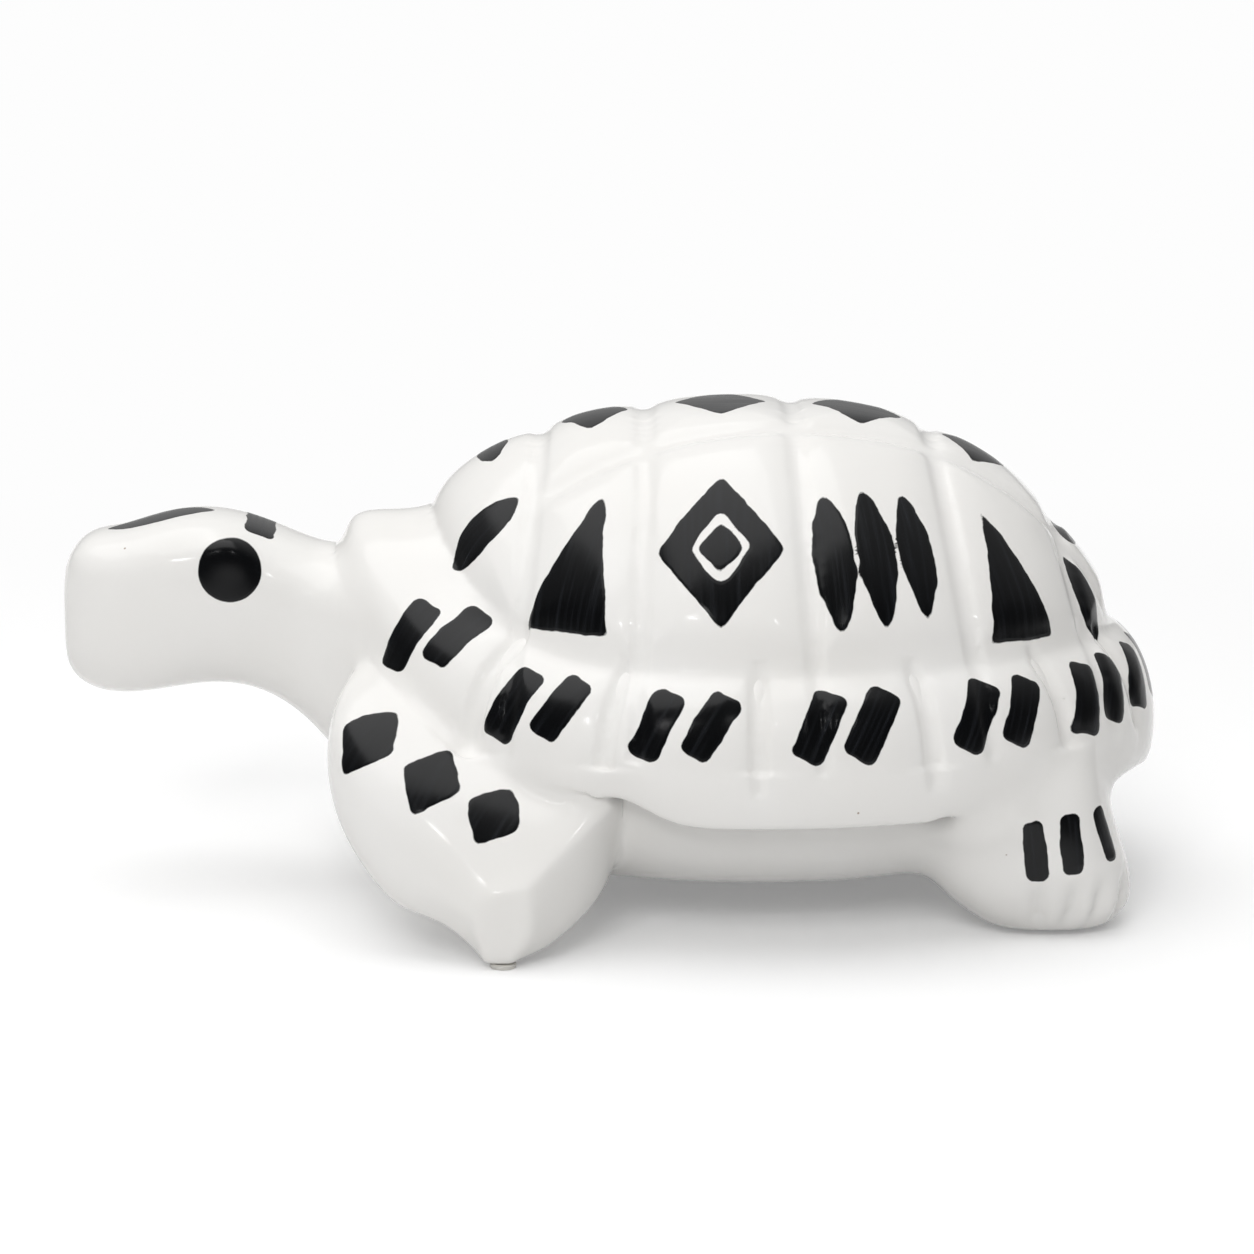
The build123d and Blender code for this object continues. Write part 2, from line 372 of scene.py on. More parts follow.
push(paddle, 585, 815, 6.0, 1.0, 9.0)
push(flank, 614, 814, 0.0, 7.0, 12.0)
push(paddle, 420, 924, 1.4, 1.8, 6.5)
push(paddle, 446, 942, 2.4, 3.4, 7.0)
push(paddle, 461, 955, 3.2, 0.0, 5.0)
push(paddle, 527, 960, -3.0, 0.0, 4.5)
across, down = seen_at(points)
from_ridge = millimetres_from(RIDGE, across, down)
reshape_skin(points)
facing = directions(skin.data)
outward = facing[:, 1] * np.sign(points[:, 1]) > 0
above_tip = np.clip((RIDGE_FOOT - down) / RIDGE_FADE, 0, 1)
ridge = RIDGE_HEIGHT * paddle * outward * np.exp(-from_ridge / RIDGE_WIDTH) * above_tip
points += facing * ridge[:, None] * MM
points[:, 1] = np.clip(points[:, 1], cad_low[1], cad_high[1])
reshape_skin(points)
soften("paddle_tips", paddle * np.clip(1.5 - points[:, 2] / TIP_HEIGHT, 0, 1), 14)
print("ridge drawn out", round(float(ridge.max()), 2), "mm")

# %% [markdown]
# ## Pillowed scutes
# On the real shell every scute swells a little between its grooves, as a cushion does. The grooves
# are in the castings already, so here only their shoulders are lowered: the nearer a point lies to
# a groove, the more it sinks. The shell follows a few sizes, in millimetres from its middle: the
# dome stands on an ellipse, and its foot climbs towards the neck.

# %% Distance to the grooves
SHELL_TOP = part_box("carapace")[1][2] / MM
DOME_REAR, DOME_FRONT, DOME_SIDE = 92, 82, 72
FOOT_HEIGHT, FOOT_CLIMB = 73, 27
CLIMB_POWER = 5
CROSS_GROOVES = (-53.0, -27.0, 10.0, 44.0, 70.0)
LEAN_PER_MM, UPRIGHT_AT = 0.17, -15
ROW_HALF_WIDTH, ROW_TAPER = 32, radians(8)
RIM_GROOVES = (20.0, 42.0, 66.0, 90.0, 113.0, 135.0)
RIM_RADIUS, RIM_GROOVE_LOW = 85, 48
AFAR = 99
CROSS_CLEAR = 4
SHELL_REACH = 4 * MM
SHOULDER_DEPTH, SHOULDER_WIDTH = 1.2, 6.0
RIM_EXTRA_DEPTH, RIM_EXTRA_WIDTH = 0.6, 1.8

points = positions(skin.data)
x = points[:, 0] / MM - SHELL_X / MM
y = np.abs(points[:, 1]) / MM
z = points[:, 2] / MM
bearing = np.arctan2(y / DOME_SIDE, x / np.where(x > 0, DOME_REAR, DOME_FRONT))
climb = np.maximum(0, -np.cos(bearing)) ** CLIMB_POWER
over_foot = z - (FOOT_HEIGHT + FOOT_CLIMB * climb)
away = np.abs(over_foot)
for groove in CROSS_GROOVES:
    lean = np.radians(LEAN_PER_MM * (groove - UPRIGHT_AT))
    off = np.abs((x - groove) * np.cos(lean) + (z - SHELL_TOP) * np.sin(lean))
    away = np.minimum(away, np.where(over_foot > 0, off, AFAR))
from_cross = np.where(over_foot > CROSS_CLEAR, away, AFAR)
taper = (x - CROSS_GROOVES[0]) * np.tan(ROW_TAPER)
from_row = np.abs(y - ROW_HALF_WIDTH + taper) * cos(ROW_TAPER)
from_row = np.where((over_foot > 0) & (x > CROSS_GROOVES[0]), from_row, AFAR)
away = np.minimum(away, from_row)
from_rim = np.full(len(points), float(AFAR))
for groove in RIM_GROOVES:
    off = np.abs(bearing - radians(groove)) * RIM_RADIUS
    from_rim = np.minimum(from_rim, np.where((over_foot < 0) & (z > RIM_GROOVE_LOW), off, AFAR))
shoulder = SHOULDER_DEPTH * np.exp(-(np.minimum(away, from_rim) / SHOULDER_WIDTH) ** 2)
shoulder = shoulder + RIM_EXTRA_DEPTH * np.exp(-(from_rim / RIM_EXTRA_WIDTH) ** 2)
sink = np.where(gap["carapace"] < SHELL_REACH, shoulder, 0.0)
print("deepest shoulder", round(float(sink.max()), 2), "mm")

# %% [markdown]
# The rear feet have a fan of toes, parted by shallow flutes that run out above and below. The head
# has a brow, which is raised a little instead of lowered.

# %% Flutes between the toes, and the brow
TOES_BEHIND, TOES_OUT = 71.5, 39
TOE_FLUTES = (95, 74, 57, 36)
FLUTE_DEPTH, FLUTE_WIDTH = 2.0, 2.2
TOE_RADIUS = 23
TOE_TOP, TOE_TOP_FADE = 17, 6
TOE_LOW, TOE_LOW_FADE = 2, 4
BROW_BEHIND_SNOUT, BROW_HEIGHT = 6 * MM, 89 * MM
BROW_RISE, BROW_SPREAD = 2.2, 7

toe_bearing = np.arctan2(y - TOES_OUT, x - TOES_BEHIND)
below_top = np.clip((TOE_TOP - z) / TOE_TOP_FADE, 0, 1)
toe_height = below_top * np.clip((z - TOE_LOW) / TOE_LOW_FADE, 0, 1)
for flute in TOE_FLUTES:
    off = (toe_bearing - radians(flute)) * TOE_RADIUS
    depth = FLUTE_DEPTH * np.exp(-(off / FLUTE_WIDTH) ** 2)
    sink += np.where(rear_gap < ON_CASTING, depth * toe_height, 0.0)
from_brow = np.hypot(points[:, 0] - snout - BROW_BEHIND_SNOUT, points[:, 2] - BROW_HEIGHT) / MM
brow = BROW_RISE * np.exp(-(from_brow / BROW_SPREAD) ** 2)
sink -= np.where(head_gap < ON_CASTING, brow, 0.0)
print(len(TOE_FLUTES), "flutes on each rear foot, brow raised", round(float(-sink.min()), 2), "mm")

# %% [markdown]
# Now the skin sinks, and the glaze flows over it once more. The grooves, the lip of the collar and
# the skirt above the tail get extra rounds, because the casting's narrow edges still show there.

# %% Sink and soften
GROOVE_FADE = 2.5
COLLAR_START, COLLAR_FADE = 0.25, 0.3
TAIL_START, TAIL_FADE = 80, 10
SKIRT_TOP, SKIRT_FADE = 62, 8
points -= directions(skin.data) * sink[:, None] * MM
points[:, 0] = np.maximum(points[:, 0], snout)
reshape_skin(points)
use(skin, "second_flow", "SMOOTH", factor=0.5, iterations=3)
on_shell = gap["carapace"] < ON_CASTING
collar = np.clip((climb - COLLAR_START) / COLLAR_FADE, 0, 1) * (over_foot < -1) * on_shell
behind = np.clip((x - TAIL_START) / TAIL_FADE, 0, 1)
tail = behind * np.clip((SKIRT_TOP - z) / SKIRT_FADE, 0, 1) * on_shell
soften("row_grooves", np.clip(2 - from_row / GROOVE_FADE, 0, 1), 40)
soften("cross_grooves", np.clip(2 - from_cross / GROOVE_FADE, 0, 1), 10)
soften("collar_lip", collar, 240)
soften("tail_skirt", tail, 40)

# %% [markdown]
# ## The painter's marks
# The black is a second glaze laid on with a flat brush, so its shapes are simple and its edges a
# little unsteady. An image would do, but here each mark is a small formula: the distance to the
# edge of the mark is kept at every point of the skin, and the finish turns black where that is
# below zero. That stays crisp close up. The marks are plain leaves, lozenges, wedges and strokes.

# %% Shapes, as distances in millimetres
STROKE_CORNER = 2.0
CORNER_SOFTNESS = 1.6
WEDGE_SOFTNESS = 1.2
LOZENGE_SWELL, WEDGE_SWELL = 0.6, 0.9
HALF_LINE = 3.2


def soft(value):
    """Like the absolute value, but round at zero, which rounds the corners of a mark."""
    return np.sqrt(value * value + CORNER_SOFTNESS)


def stroke(u, v, long, wide):
    a = np.abs(u) - long / 2 + STROKE_CORNER
    b = np.abs(v) - wide / 2 + STROKE_CORNER
    outside = np.hypot(np.maximum(a, 0), np.maximum(b, 0))
    return outside + np.minimum(np.maximum(a, b), 0) - STROKE_CORNER


def disc(u, v, long, wide):
    share = np.hypot(u / (long / 2), v / (wide / 2))
    return (share - 1) * min(long, wide) / 2


def leaf(u, v, long, wide):
    bend = (long * long + wide * wide) / (4 * wide)
    return np.hypot(u, soft(v) + bend - wide / 2) - bend


def lozenge(u, v, long, wide):
    a, b = long / 2, wide / 2
    return (soft(u) / a + soft(v) / b - 1) * a * b / np.hypot(a, b) - LOZENGE_SWELL


def wedge(u, v, long, wide):
    side = (soft(v) * long + (u - long / 2) * wide / 2) / np.hypot(long, wide / 2)
    base = -u - long / 2
    joined = np.logaddexp(WEDGE_SOFTNESS * side, WEDGE_SOFTNESS * base)
    return joined / WEDGE_SOFTNESS - WEDGE_SWELL


def hollow_lozenge(u, v, long, wide):
    return np.abs(lozenge(u, v, long, wide) + HALF_LINE) - HALF_LINE


print("brush shapes: stroke, disc, leaf, lozenge, wedge, hollow lozenge")

# %% [markdown]
# ## Aiming marks at the skin
# A mark is aimed with a ray, either straight at the shell or through a pixel of the frame, so it
# always lies on the clay. The band of the rim runs from the dome's foot out and down to the lip. The
# right side gets the mirror image of the left.

# %% Aim
RAY_START = 0.2
DOME_AXIS = 70 * MM
RIM_RISE = 0.6
RIM_SIDE = 83
LIP_HEIGHT, LIP_CLIMB = 42, 51
skin_tree = BVHTree.FromObject(skin, bpy.context.evaluated_depsgraph_get())


def aim(target, outward):
    """Where a ray that comes from outside meets the skin, and the way the skin faces there."""
    outward = Vector(outward).normalized()
    place, facing, _, _ = skin_tree.ray_cast(Vector(target) + outward * RAY_START, -outward)
    return place, facing


def aim_pixel(x, y):
    turn = camera.rotation_euler.to_matrix()
    half = FRAME_SIDE / 2
    slope = SENSOR / 2 / LENS / half
    ray = turn @ Vector(((x - half) * slope, (half - y) * slope, -1))
    place, facing, _, _ = skin_tree.ray_cast(CAMERA, ray.normalized())
    return place, facing


def aim_rim(bearing, spread):
    """On the band round the dome: bearing from the tail, spread 0 at the dome and 1 at the lip."""
    turn = radians(bearing)
    climb = max(0.0, -cos(turn)) ** CLIMB_POWER
    dome = DOME_REAR if cos(turn) > 0 else DOME_FRONT
    reach = dome + spread * (RIM_REACH - dome)
    side = DOME_SIDE + (RIM_SIDE - DOME_SIDE) * spread
    foot, lip = FOOT_HEIGHT + FOOT_CLIMB * climb, LIP_HEIGHT + LIP_CLIMB * climb
    target = Vector((SHELL_X / MM + reach * cos(turn), -side * sin(turn),
                     foot + spread * (lip - foot))) * MM
    return aim(target, (cos(turn), -sin(turn), RIM_RISE))


def aim_dome(along, rise):
    """On the dome: millimetres behind the shell's middle, degrees up from the left."""
    axis = Vector((SHELL_X + along * MM, 0, DOME_AXIS))
    return aim(axis, (0, -cos(radians(rise)), sin(radians(rise))))


print("middle of the shell at", round(SHELL_X / MM, 1), "mm")

# %% [markdown]
# ## Laying the marks out
# Each mark has a spot, the direction that counts as up there, a shape, its length and width in
# millimetres, a turn in degrees and a shift to the right. Side marks are mirrored later.

# %% Lay out the marks
UP, AHEAD = (0, 0, 1), (-1, 0, 0)
EYE_BEHIND_SNOUT, EYE_SIZE = 43.6 * MM, 16
LEAF_STEP, PAIR_SHIFT = 10.5, 6.5
side_marks = []
middle_marks = []


def mark(marks, spot, up, shape, long, wide, turn=90, right=0.0):
    marks.append((spot, up, shape, long, wide, turn, right))


mark(side_marks, aim_dome(-43, 26), UP, wedge, 34, 21)
spot = aim_dome(-9, 26)
mark(side_marks, spot, UP, hollow_lozenge, 42, 31)
mark(side_marks, spot, UP, lozenge, 15, 11)
spot = aim_dome(29, 25)
for right in (-LEAF_STEP, 0, LEAF_STEP):
    mark(side_marks, spot, UP, leaf, 40, 10, 90, right)
mark(side_marks, aim_dome(62, 25), UP, wedge, 34, 20)
mark(side_marks, aim_dome(84, 22), UP, leaf, 27, 9)
mark(side_marks, aim_dome(-68, 42), UP, leaf, 26, 11, 60)

for along, long, wide in ((-40, 18, 30), (-8, 24, 34), (27, 24, 34), (57, 18, 28)):
    mark(middle_marks, aim_dome(along, 90), AHEAD, lozenge, long, wide)
mark(middle_marks, aim_dome(-66, 90), AHEAD, leaf, 26, 9, 0)
mark(middle_marks, aim_dome(80, 90), AHEAD, leaf, 20, 9, 0)

for pair in (10, 31, 54, 78, 101, 124, 146):
    spot = aim_rim(pair, 0.5)
    mark(side_marks, spot, UP, stroke, 18, 8.5, 64, -PAIR_SHIFT)
    mark(side_marks, spot, UP, stroke, 18, 8.5, 64, PAIR_SHIFT)

for at, down, size in ((368, 738, 22), (432, 779, 20), (494, 815, 18)):
    mark(side_marks, aim_pixel(at, down), UP, lozenge, size, size * 0.8, 60)
for at, down in ((1035, 852), (1072, 845), (1105, 834)):
    mark(side_marks, aim_pixel(at, down), UP, stroke, 15, 5.5, 95)

mark(middle_marks, aim((snout + 24 * MM, 0, 0), UP), AHEAD, leaf, 30, 15, 90)
mark(middle_marks, aim((snout + 50 * MM, 0, 0), UP), AHEAD, stroke, 24, 8, 0)

EYE = (snout + EYE_BEHIND_SNOUT, 0, EYE_HEIGHT)
mark(side_marks, aim(EYE, (0, -1, 0)), UP, disc, EYE_SIZE, EYE_SIZE)
print(len(side_marks), "marks on each side,", len(middle_marks), "along the middle")

# %% [markdown]
# Each mark is now measured on the points around it that face its way. A little chance in turn and
# size keeps the marks from looking stamped. The eye, the only disc, gets none of that. Where two
# marks are near, the nearer one counts, and the place within its stroke is kept for the bristles.

# %% Work out the distance to the nearest mark at every point
UNPAINTED = 20.0
MARK_REACH = 40
FACING_LEAST = 0.15
WOBBLE, GROWTH = 4, 0.05
STROKE_SEEDS = 50
facing = directions(skin.data)
points = positions(skin.data)
edge = np.full(len(points), UNPAINTED)
brush = np.zeros((len(points), 3))


def lay(marks, flip, salt):
    rng = np.random.default_rng(salt)
    mirror = np.array((1, -1, 1)) if flip else np.ones(3)
    for (place, normal), up, shape, long, wide, turn, right in marks:
        by_hand = shape is not disc
        wobble = rng.uniform(-WOBBLE, WOBBLE) if by_hand else 0.0
        grow = rng.uniform(1 - GROWTH, 1 + GROWTH) if by_hand else 1.0
        n = np.array(normal)
        across = np.cross(np.array(up, dtype=float), n)
        across /= np.linalg.norm(across)
        rise = np.cross(n, across)
        offset = (points * mirror - np.array(place)) / MM
        in_reach = np.abs(offset).max(axis=1) < MARK_REACH
        near = np.flatnonzero(in_reach & ((facing * mirror) @ n > FACING_LEAST))
        u = offset[near] @ across - right
        v = offset[near] @ rise
        a = radians(turn + wobble)
        along, over = u * cos(a) + v * sin(a), v * cos(a) - u * sin(a)
        far = shape(along, over, long * grow, wide * grow)
        closer = far < edge[near]
        chosen = near[closer]
        edge[chosen] = far[closer]
        bristled = 1.0 if by_hand else 0.0
        brush[chosen, 0] = along[closer] * bristled
        brush[chosen, 1] = over[closer] * bristled
        brush[chosen, 2] = rng.uniform(0, STROKE_SEEDS) * bristled


def keep(name, kind, key, values):
    """Keeps values at the skin's points, where the finish and the cut can read them."""
    skin.data.attributes.new(name, kind, "POINT").data.foreach_set(key, values.ravel())


lay(side_marks, False, 1)
lay(side_marks, True, 2)
lay(middle_marks, False, 3)
keep("mark_edge", "FLOAT", "value", edge)
keep("brush", "FLOAT_VECTOR", "vector", brush)
keep("flow", "FLOAT_VECTOR", "vector", facing)
print("black covers", round(100 * float((edge < 0).mean()), 1), "% of the points")

# %% [markdown]
# ## Finishes
# A finish is a small net of nodes. One helper makes the colours linear, one adds a node with what
# goes into it, and one turns millimetres into the scale of a texture.

# %% Node helper and colours


def colour(code):
    """An sRGB hex value as linear red, green, blue and alpha."""
    parts = [int(code[i:i + 2], 16) / 255 for i in (1, 3, 5)]
    linear = [p / 12.92 if p < 0.04045 else ((p + 0.055) / 1.055) ** 2.4 for p in parts]
    return tuple(linear) + (1.0,)


def add(tree, kind, inputs=(), **settings):
    """One node, with its settings and what goes into it."""
    node = tree.nodes.new(kind)
    for key, value in settings.items():
        setattr(node, key, value)
    for key, value in dict(inputs).items():
        if isinstance(value, bpy.types.NodeSocket):
            tree.links.new(value, node.inputs[key])
        else:
            node.inputs[key].default_value = value
    return node


def per(size_mm):
    """A texture scale that repeats about once in this many millimetres."""
    return 1000 / size_mm


print("white glaze", [round(c, 3) for c in colour("#F3F2EF")])

# %% [markdown]
# A glaze is a thin glass: smooth, with a clear reflection over a body colour. The white one has
# slight clouds, a faint orange-peel ripple and a few iron specks from the clay. The black one is
# thicker, stands a hair proud, has pinholes, and keeps the streaks of the brush. Its edge shakes a
# little with the painter's hand, but round the eye the hand was steadier.

# %% The glazed ceramic
GLAZE_IOR = 1.36
STEADY_HAND, FREE_HAND = 0.5, 1.8
glaze = bpy.data.materials.new("glazed_ceramic_white_with_black_brushwork")
glaze.use_nodes = True
tree = glaze.node_tree
shader = tree.nodes["Principled BSDF"]
shader.inputs["IOR"].default_value = GLAZE_IOR
place = add(tree, "ShaderNodeTexCoord").outputs["Object"]
edge_in = add(tree, "ShaderNodeAttribute", attribute_name="mark_edge").outputs["Fac"]
brush_in = add(tree, "ShaderNodeAttribute", attribute_name="brush").outputs["Vector"]

shake = add(tree, "ShaderNodeTexNoise", {"Vector": place, "Scale": per(7), "Detail": 2.0}).outputs[0]
stroke_in = add(tree, "ShaderNodeSeparateXYZ", {0: brush_in}).outputs["Z"]
hand = add(tree, "ShaderNodeMapRange", {"Value": stroke_in, "From Max": 0.01, "To Min": STEADY_HAND,
                                        "To Max": FREE_HAND}).outputs[0]
even = add(tree, "ShaderNodeMath", {0: shake, 1: 0.5}, operation="SUBTRACT").outputs[0]
unsteady = add(tree, "ShaderNodeMath", {0: even, 1: hand}, operation="MULTIPLY").outputs[0]
ragged = add(tree, "ShaderNodeMath", {0: edge_in, 1: unsteady}, operation="ADD").outputs[0]
black_in = add(tree, "ShaderNodeMapRange", {"Value": ragged, "From Min": -0.12, "From Max": 0.12,
                                            "To Min": 1.0, "To Max": 0.0}).outputs[0]

clouds = add(tree, "ShaderNodeTexNoise", {"Vector": place, "Scale": per(45), "Detail": 2.0}).outputs[0]
white = add(tree, "ShaderNodeMix", {0: clouds, 6: colour("#EFEDE9"), 7: colour("#F7F6F4")},
            data_type="RGBA").outputs[2]
cells = add(tree, "ShaderNodeTexVoronoi", {"Vector": place, "Scale": per(22)}).outputs["Distance"]
speck_in = add(tree, "ShaderNodeMapRange", {"Value": cells, "From Min": 0.010, "From Max": 0.018,
                                            "To Min": 0.75, "To Max": 0.0}).outputs[0]
specked = add(tree, "ShaderNodeMix", {0: speck_in, 6: white, 7: colour("#8C7158")},
              data_type="RGBA").outputs[2]

# A streak of the brush is about 25 mm long and 1.1 mm wide.
bristle_map = add(tree, "ShaderNodeMapping", {"Vector": brush_in, "Scale": (0.04, 0.9, 1.0)})
bristles = add(tree, "ShaderNodeTexNoise", {"Vector": bristle_map.outputs[0], "Scale": 1.0,
                                            "Detail": 4.0}).outputs[0]
thin_in = add(tree, "ShaderNodeMapRange", {"Value": bristles, "From Min": 0.5,
                                           "From Max": 0.75}).outputs[0]
black = add(tree, "ShaderNodeMix", {0: thin_in, 6: colour("#050608"), 7: colour("#17191D")},
            data_type="RGBA").outputs[2]
pin_in = add(tree, "ShaderNodeMath", {0: speck_in, 1: 0.6}, operation="MULTIPLY").outputs[0]
pinned = add(tree, "ShaderNodeMix", {0: pin_in, 6: black, 7: colour("#9A9A98")},
             data_type="RGBA").outputs[2]

body = add(tree, "ShaderNodeMix", {0: black_in, 6: specked, 7: pinned}, data_type="RGBA").outputs[2]
streaked = add(tree, "ShaderNodeMapRange", {"Value": bristles, "To Min": 0.10,
                                            "To Max": 0.34}).outputs[0]
gloss = add(tree, "ShaderNodeMix", {0: black_in, 2: 0.11, 3: streaked}, data_type="FLOAT").outputs[0]
peel = add(tree, "ShaderNodeTexNoise", {"Vector": place, "Scale": per(9), "Detail": 1.0}).outputs[0]
rippled = add(tree, "ShaderNodeBump", {"Height": peel, "Strength": 0.5, "Distance": 0.12 * MM})
coat_edge = add(tree, "ShaderNodeMapRange", {"Value": ragged, "From Min": -0.7, "From Max": 0.2,
                                             "To Min": 1.0, "To Max": 0.0}).outputs[0]
raised = add(tree, "ShaderNodeBump", {"Height": coat_edge, "Strength": 0.6, "Distance": 0.10 * MM,
                                      "Normal": rippled.outputs[0]})
tree.links.new(body, shader.inputs["Base Color"])
tree.links.new(gloss, shader.inputs["Roughness"])
tree.links.new(raised.outputs[0], shader.inputs["Normal"])
print("finish:", glaze.name, len(tree.nodes), "nodes")

# %% [markdown]
# Under each sole sits a disc of pressed felt. Felt is a mat of fine wool fibres, so it has no gloss,
# a soft pale sheen at its edge and a fibrous mottling. Single fibres are too fine to show, so the
# mottling is drawn as coarse as 0.6 mm.

# %% The felt
felt = bpy.data.materials.new("pressed_wool_felt_off_white")
felt.use_nodes = True
tree = felt.node_tree
shader = tree.nodes["Principled BSDF"]
shader.inputs["Roughness"].default_value = 0.95
shader.inputs["Sheen Weight"].default_value = 0.4
place = add(tree, "ShaderNodeTexCoord").outputs["Object"]
fibre_map = add(tree, "ShaderNodeMapping", {"Vector": place, "Scale": (1.0, 0.35, 1.0)})
fibres = add(tree, "ShaderNodeTexNoise", {"Vector": fibre_map.outputs[0], "Scale": per(0.6),
                                          "Detail": 6.0, "Roughness": 0.7}).outputs[0]
mottled = add(tree, "ShaderNodeMix", {0: fibres, 6: colour("#D3D0C8"), 7: colour("#EDEBE6")},
              data_type="RGBA").outputs[2]
fuzz = add(tree, "ShaderNodeBump", {"Height": fibres, "Strength": 0.8, "Distance": 0.15 * MM})
tree.links.new(mottled, shader.inputs["Base Color"])
tree.links.new(fuzz.outputs[0], shader.inputs["Normal"])
print("finish:", felt.name, len(tree.nodes), "nodes")

# %% [markdown]
# ## Cutting the skin back into castings
# Each face goes with the casting it lies nearest to, and each casting becomes a closed piece of
# its own: the cut is capped inside.

# %% Cut and cap
CAP_DEPTH = 3 * MM
nearest = np.argmin([gap[node] for node in CERAMIC], axis=0)
owner = np.empty(len(skin.data.polygons), dtype=int)
for polygon in skin.data.polygons:
    owner[polygon.index] = np.bincount(nearest[list(polygon.vertices)]).argmax()


def cut_out(index, node):
    """A closed piece from the faces of one casting."""
    form = bmesh.new()
    form.from_mesh(skin.data)
    form.faces.ensure_lookup_table()
    rest = [face for face in form.faces if owner[face.index] != index]
    bmesh.ops.delete(form, geom=rest, context="FACES")
    flow = form.verts.layers.float_vector["flow"]
    rims = [e for e in form.edges if e.is_boundary]
    grown = bmesh.ops.extrude_edge_only(form, edges=rims)["geom"]
    for corner in [part for part in grown if isinstance(part, bmesh.types.BMVert)]:
        corner.co -= corner[flow] * CAP_DEPTH
    inner = [e for e in form.edges if e.is_boundary]
    bmesh.ops.holes_fill(form, edges=inner, sides=0)
    mesh = bpy.data.meshes.new("glazed_" + node)
    form.to_mesh(mesh)
    form.free()
    piece = bpy.data.objects.new("glazed_" + node, mesh)
    bpy.context.scene.collection.objects.link(piece)
    return piece


pieces = {node: cut_out(i, node) for i, node in enumerate(CERAMIC)}
for node, piece in pieces.items():
    print(piece.name, len(piece.data.polygons), "faces")

# %% [markdown]
# The kiln vent is a plain hole in the belly, cut while the clay was damp. A cylinder is taken away
# from the belly piece with a boolean, which leaves a clean round edge.

# %% Cut the vent
DRILL_DEPTH, DRILL_MIDDLE = 24 * MM, 8 * MM
only(pieces["plastron"])
bpy.ops.mesh.primitive_cylinder_add(vertices=48, radius=VENT_RADIUS, depth=DRILL_DEPTH,
                                    location=(SHELL_X, 0, belly_low + DRILL_MIDDLE))
drill = bpy.context.object
bpy.ops.object.transform_apply()
use(pieces["plastron"], "vent", "BOOLEAN", operation="DIFFERENCE", solver="EXACT", object=drill)
bpy.data.objects.remove(drill)
print("vent cut,", len(pieces["plastron"].data.polygons), "faces in the belly")

# %% [markdown]
# The direction in which the whole skin faced was kept at every point. It is given back to the
# pieces, so light runs across the hidden joins as it does on the fired glaze. Only the drilled
# vent keeps its own directions.

# %% Give each piece its shading, finish and place in the model
VENT_MARGIN = 0.05 * MM


def settle(piece, node):
    mesh = piece.data
    mesh.shade_smooth()
    own = directions(mesh)
    kept = np.empty(len(mesh.vertices) * 3)
    mesh.attributes["flow"].data.foreach_get("vector", kept)
    kept = kept.reshape(-1, 3)
    corners = positions(mesh)
    from_vent = np.hypot(corners[:, 0] - SHELL_X, corners[:, 1])
    drilled = (from_vent < VENT_RADIUS + VENT_MARGIN) & (node == "plastron")
    use_kept = (np.linalg.norm(kept, axis=1) > 0.5) & ~drilled
    final = np.where(use_kept[:, None], kept, own)
    mesh.normals_split_custom_set_from_vertices(final.tolist())
    mesh.materials.clear()
    mesh.materials.append(glaze)
    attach(piece, "root")
    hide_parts(node)


for node, piece in pieces.items():
    settle(piece, node)
bpy.data.objects.remove(skin)
print("castings finished:", len(pieces))

# %% [markdown]
# ## Felt pads
# Each pad is a punched disc: a flat cylinder as thick as the casting's own pad and a little
# narrower, so that it hides under the sole. Its rims are rounded with a bevel.

# %% Punch the pads
PADS = ["front_left_pad", "front_right_pad", "rear_left_pad", "rear_right_pad"]
PAD_SHARE = 0.8
PAD_BEVEL = 0.3 * MM
for node in PADS:
    low, high = (Vector(corner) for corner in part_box(node))
    size = high - low
    only(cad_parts[node])
    bpy.ops.object.select_all(action="DESELECT")
    bpy.ops.mesh.primitive_cylinder_add(vertices=64, radius=size.x / 2 * PAD_SHARE, depth=size.z,
                                        end_fill_type="TRIFAN", location=(low + high) / 2)
    pad = bpy.context.object
    pad.name = "felt_" + node
    bpy.ops.object.transform_apply()
    use(pad, "soft_rim", "BEVEL", width=PAD_BEVEL, segments=3, limit_method="ANGLE")
    pad.data.shade_smooth()
    pad.data.materials.append(felt)
    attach(pad, "root")
    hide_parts(node)
print("pads:", len(PADS))

# %% [markdown]
# ## Studio
# The photo was taken on a white sweep. The floor near the figure is pale paper that takes its
# shadow, and further off it fades to plain white, where it is seen or mirrored.

# %% Floor
FADE_START, FADE_END = 0.22, 0.6
FLOOR_LIFT = 0.22
only(camera)
bpy.ops.mesh.primitive_plane_add(size=16, location=(0, 0, 0))
floor = bpy.context.object
floor.name = "studio_floor"
floor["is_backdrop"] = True
paper = bpy.data.materials.new("white_paper_sweep")
paper.use_nodes = True
tree = paper.node_tree
tree.nodes.clear()
light_path = add(tree, "ShaderNodeLightPath")
seen = add(tree, "ShaderNodeMath", {0: light_path.outputs["Is Camera Ray"],
                                    1: light_path.outputs["Is Glossy Ray"]}, operation="MAXIMUM")
seen = add(tree, "ShaderNodeMath", {0: seen.outputs[0], 1: light_path.outputs["Is Transmission Ray"]},
           operation="MAXIMUM").outputs[0]
matt = add(tree, "ShaderNodeBsdfDiffuse", {"Color": colour("#E9E9E9")})
lift = add(tree, "ShaderNodeEmission", {"Color": colour("#FFFFFF"), "Strength": FLOOR_LIFT})
lifted = add(tree, "ShaderNodeAddShader", {0: matt.outputs[0], 1: lift.outputs[0]})
bare = add(tree, "ShaderNodeEmission", {"Color": colour("#FDFDFD"), "Strength": 1.0})
place = add(tree, "ShaderNodeTexCoord").outputs["Object"]
far = add(tree, "ShaderNodeVectorMath", {0: place}, operation="LENGTH").outputs["Value"]
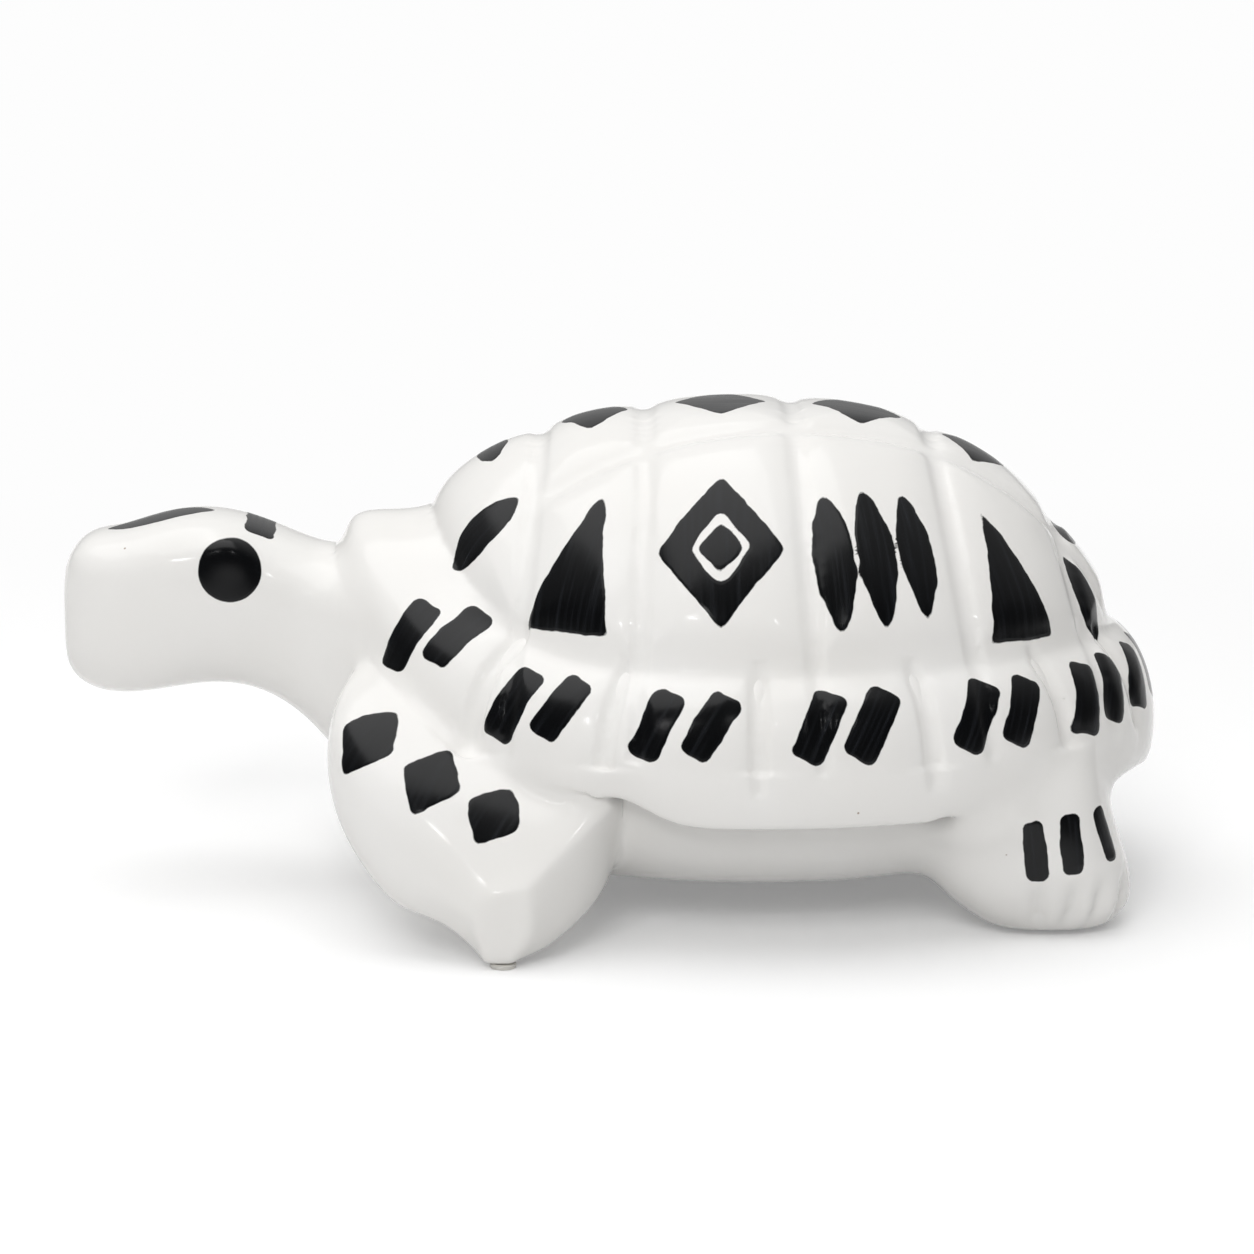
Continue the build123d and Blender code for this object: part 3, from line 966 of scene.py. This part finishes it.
fade = add(tree, "ShaderNodeMapRange", {"Value": far, "From Min": FADE_START, "From Max": FADE_END},
           interpolation_type="SMOOTHSTEP").outputs[0]
seen_far = add(tree, "ShaderNodeMath", {0: fade, 1: seen}, operation="MULTIPLY").outputs[0]
lit = add(tree, "ShaderNodeMixShader", {0: seen, 1: matt.outputs[0], 2: lifted.outputs[0]})
paper_mix = add(tree, "ShaderNodeMixShader", {0: seen_far, 1: lit.outputs[0], 2: bare.outputs[0]})
add(tree, "ShaderNodeOutputMaterial", {"Surface": paper_mix.outputs[0]})
floor.data.materials.append(paper)
print("floor", tuple(round(v, 1) for v in floor.dimensions))

# %% [markdown]
# A broad softbox hangs overhead. A light in front and a faint one behind only brighten, so they are
# kept out of reflections, where they would show as hard strips. Two small lamps make the dots of
# light that a glaze has, and a pale tent fills the rest.

# %% Lights
FIGURE = (0, 0, 0.05)
TENT_BRIGHTEST = (0.0, 0.5, 0.87)


def softbox(name, place, target, wide, high, power):
    lamp = bpy.data.lights.new(name, "AREA")
    lamp.shape = "RECTANGLE"
    lamp.size, lamp.size_y, lamp.energy = wide, high, power
    holder = bpy.data.objects.new(name, lamp)
    bpy.context.scene.collection.objects.link(holder)
    holder.location = place
    holder.rotation_euler = (Vector(target) - Vector(place)).to_track_quat("-Z", "Y").to_euler()
    return holder


softbox("overhead_softbox", (-0.3, -0.1, 1.4), (0, 0, 0), 1.6, 1.4, 11)
front = softbox("front_light", (-0.3, -2.0, 1.45), FIGURE, 0.9, 0.9, 18)
front.visible_glossy = False
rear = softbox("rear_light", (0.4, 2.0, 1.3), FIGURE, 0.8, 0.8, 3)
rear.visible_glossy = False
for side in (-0.7, 0.5):
    softbox("small_lamp", (side, -1.9, 1.3), FIGURE, 0.14, 0.14, 1.0).data.shape = "DISK"

world = bpy.data.worlds.new("studio_tent")
bpy.context.scene.world = world
world.use_nodes = True
tree = world.node_tree
way = add(tree, "ShaderNodeVectorMath", {0: add(tree, "ShaderNodeTexCoord").outputs["Generated"],
                                         1: TENT_BRIGHTEST}, operation="DOT_PRODUCT")
glow = add(tree, "ShaderNodeMapRange", {"Value": way.outputs["Value"], "From Min": 0.1, "From Max": 0.9,
                                        "To Min": 0.10, "To Max": 0.6},
           interpolation_type="SMOOTHSTEP").outputs[0]
tree.links.new(glow, tree.nodes["Background"].inputs["Strength"])
tree.nodes["Background"].inputs["Color"].default_value = colour("#FFFFFF")
bpy.context.scene.view_settings.view_transform = "Standard"
print("five lamps and a white tent")

# %% Finish
low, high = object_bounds()
print("size of the figure, mm:", [round((b - a) / MM, 1) for a, b in zip(low, high)])
